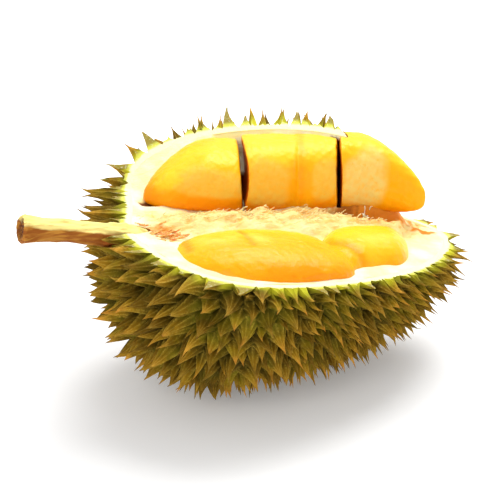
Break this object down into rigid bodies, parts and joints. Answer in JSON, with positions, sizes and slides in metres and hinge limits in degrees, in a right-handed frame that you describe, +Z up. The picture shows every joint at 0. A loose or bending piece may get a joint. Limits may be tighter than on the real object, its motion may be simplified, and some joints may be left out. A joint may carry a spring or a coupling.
{
  "type": "opened durian",
  "caption": "Spiny durian lying on its side, husk cut open along the top, with its yellow flesh showing in cream pith and the stalk attached",
  "frame": {"origin": "centre of the bounding box in plan, on the floor that the fruit rests on", "axes": "+X along the length of the fruit, from the stalk toward the blossom end; +Z up; the opening faces up and toward -Y"},
  "size_m": [0.3234, 0.2232, 0.167],
  "materials": {
    "husk": "dry olive-brown rind, yellow-green between the spines, brown at their tips",
    "pith": "matte cream plant tissue, smooth where cut and fibrous where torn",
    "stem": "dry bark-like stalk, pale along its upper side, fibrous cut end",
    "flesh": "moist, soft, slightly glossy yellow flesh"
  },
  "bodies": {
    "root": {"husk": "husk", "pith": "pith", "stem": "stem", "rear_pod_stem_end": "flesh", "rear_pod_mid_stem": "flesh", "rear_pod_mid_tip": "flesh", "rear_pod_tip_end": "flesh", "front_pod_stem_end": "flesh", "front_pod_tip_end": "flesh"}
  },
  "joints": []
}
